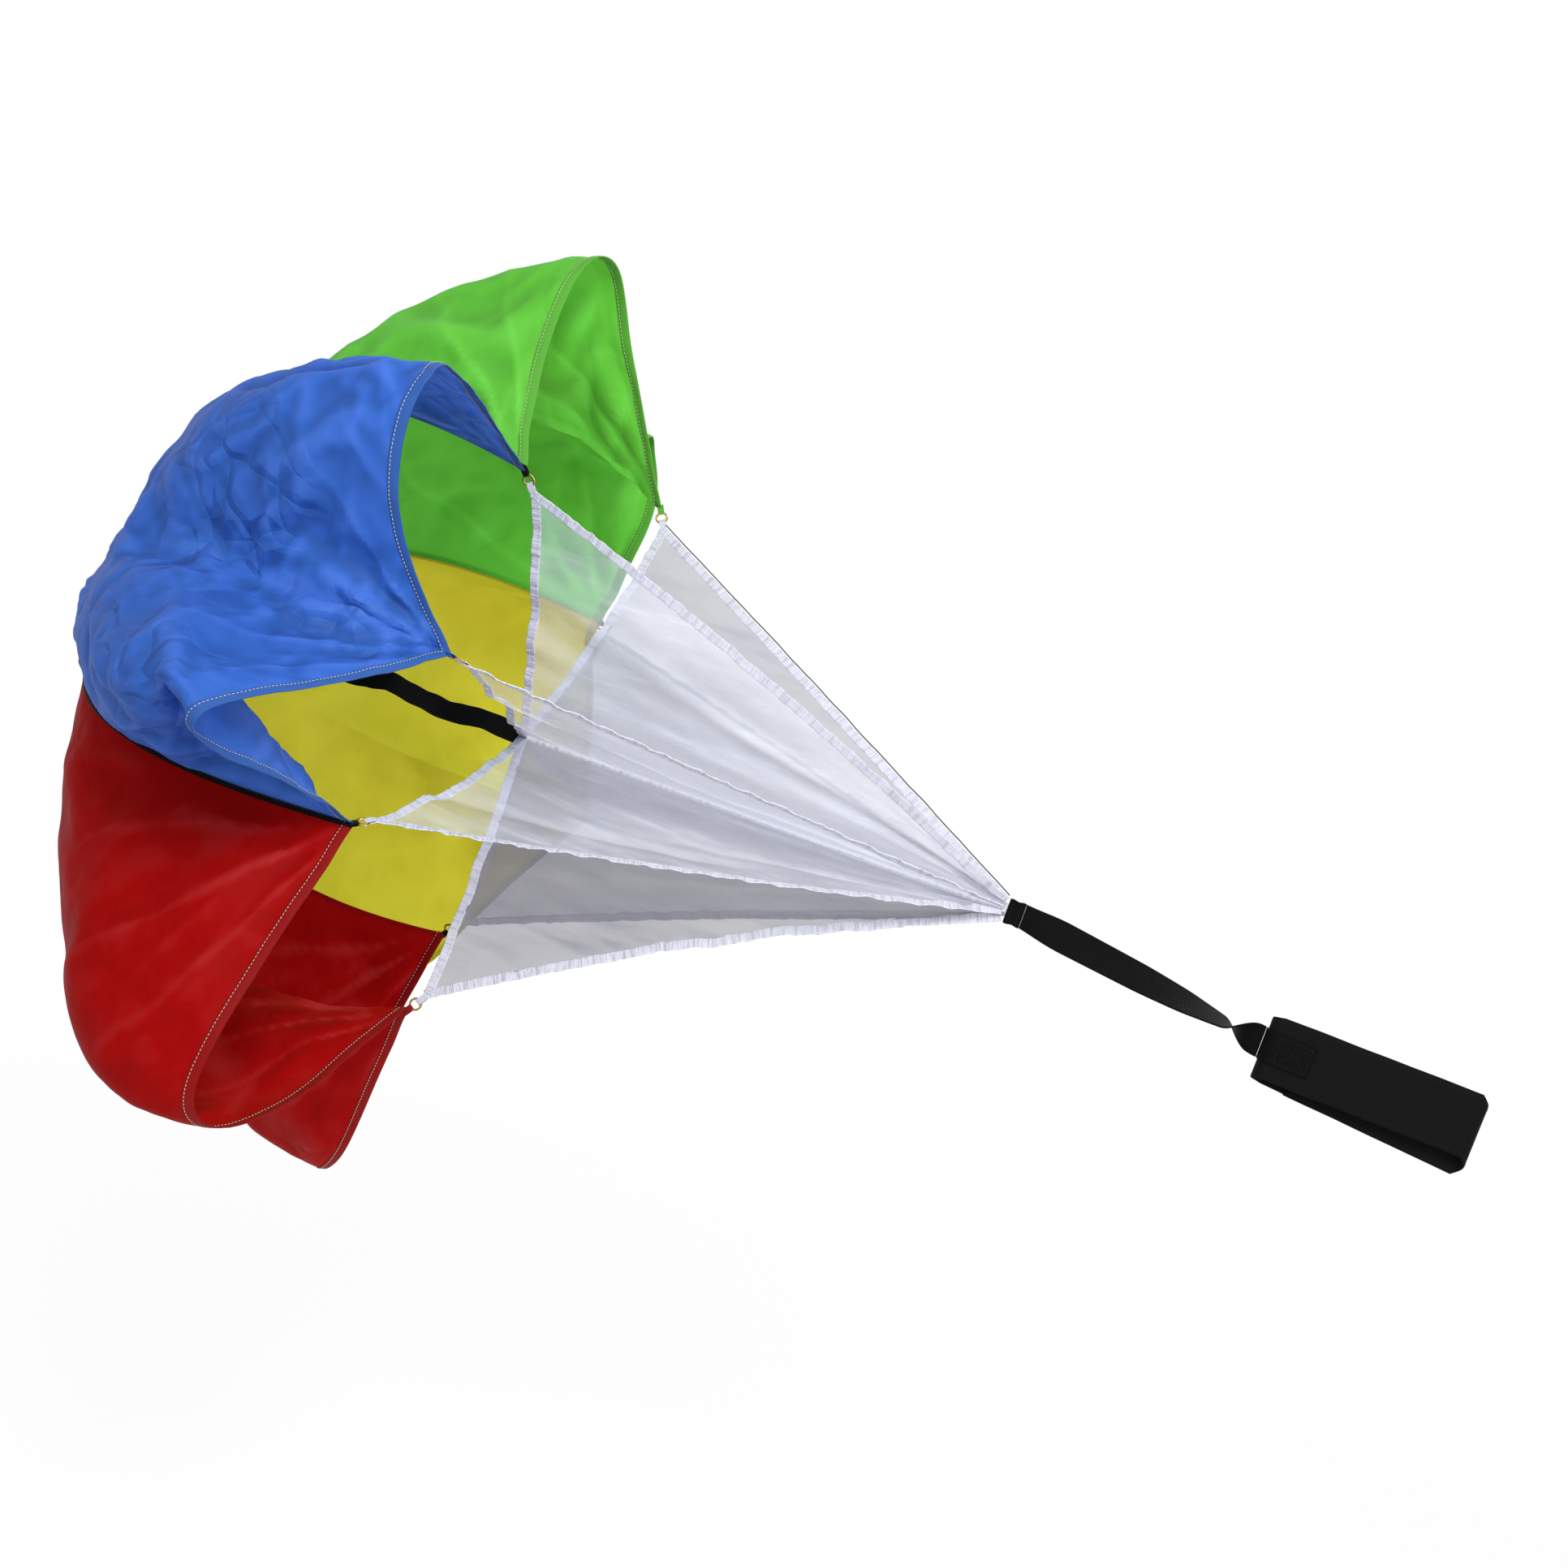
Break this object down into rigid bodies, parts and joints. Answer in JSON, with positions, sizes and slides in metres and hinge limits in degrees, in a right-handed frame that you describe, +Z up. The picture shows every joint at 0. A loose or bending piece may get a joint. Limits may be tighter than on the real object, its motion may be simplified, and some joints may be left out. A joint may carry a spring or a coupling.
{
  "type": "speed parachute",
  "caption": "Open lobed resistance parachute in coloured panels, held open by radial mesh fins and towed by a webbing strap from a waist belt.",
  "frame": {"origin": "centre of the face of the belt's front layer that bears on the wearer, on the belt's mid-height line", "axes": "+X along the tow line from the canopy to the belt, +Z up, +Y from the belt's front layer into the loop"},
  "size_m": [1.731, 1.1684, 1.1998],
  "materials": {
    "blue_cloth": "plain woven nylon, slightly shiny, creased",
    "red_cloth": "plain woven nylon, slightly shiny, creased",
    "yellow_cloth": "plain woven nylon, slightly shiny, creased",
    "green_cloth": "plain woven nylon, slightly shiny, creased",
    "white_mesh": "fine open mesh, see-through",
    "white_tape": "folded binding, stitched",
    "black_tape": "matte woven tape",
    "black_webbing": "matte woven nylon webbing",
    "black_belt": "matte padded band",
    "hook_and_loop": "napped hook-and-loop",
    "tie_brass": "dull"
  },
  "bodies": {
    "belt": {"waist_belt": "black_belt", "strap_anchor": "black_webbing", "loop_patch": "hook_and_loop"},
    "flap": {"belt_flap": "black_belt", "hook_patch": "hook_and_loop"},
    "strap": {"tow_strap": "black_webbing"},
    "canopy": {"panel_blue": "blue_cloth", "panel_red": "red_cloth", "panel_yellow": "yellow_cloth", "panel_green": "green_cloth", "seam_tape_green_blue": "black_tape", "seam_tape_blue_red": "black_tape", "seam_tape_red_yellow": "black_tape", "seam_tape_yellow_green": "black_tape", "crown_patch_outer": "black_tape", "crown_patch_inner": "black_tape", "centre_strap": "black_webbing", "mesh_fin_0": "white_mesh", "mesh_fin_1": "white_mesh", "mesh_fin_2": "white_mesh", "mesh_fin_3": "white_mesh", "mesh_fin_4": "white_mesh", "mesh_fin_5": "white_mesh", "mesh_fin_6": "white_mesh", "mesh_fin_7": "white_mesh", "lead_tape_0": "white_tape", "lead_tape_1": "white_tape", "lead_tape_2": "white_tape", "lead_tape_3": "white_tape", "lead_tape_4": "white_tape", "lead_tape_5": "white_tape", "lead_tape_6": "white_tape", "lead_tape_7": "white_tape", "base_tape_0": "white_tape", "base_tape_1": "white_tape", "base_tape_2": "white_tape", "base_tape_3": "white_tape", "base_tape_4": "white_tape", "base_tape_5": "white_tape", "base_tape_6": "white_tape", "base_tape_7": "white_tape", "fin_spine": "white_tape", "tie_ring_0": "tie_brass", "tie_ring_1": "tie_brass", "tie_ring_2": "tie_brass", "tie_ring_3": "tie_brass", "tie_ring_4": "tie_brass", "tie_ring_5": "tie_brass", "tie_ring_6": "tie_brass", "tie_ring_7": "tie_brass", "apex_tab": "black_webbing"}
  },
  "joints": [
    {"name": "tow_swing", "type": "hinge", "parent": "belt", "child": "strap", "pos_m": [-0.1302, 0.0109, 0], "axis": [0, 0, 1], "range_deg": [-75, 75]},
    {"name": "canopy_swing", "type": "hinge", "parent": "strap", "child": "canopy", "pos_m": [-0.4322, 0.0109, 0.036], "axis": [0, 0, 1], "range_deg": [-75, 75]},
    {"name": "flap_peel", "type": "hinge", "parent": "belt", "child": "flap", "pos_m": [-0.07335, 0.02305, 0], "axis": [0, 0, 1], "range_deg": [0, 90]}
  ]
}
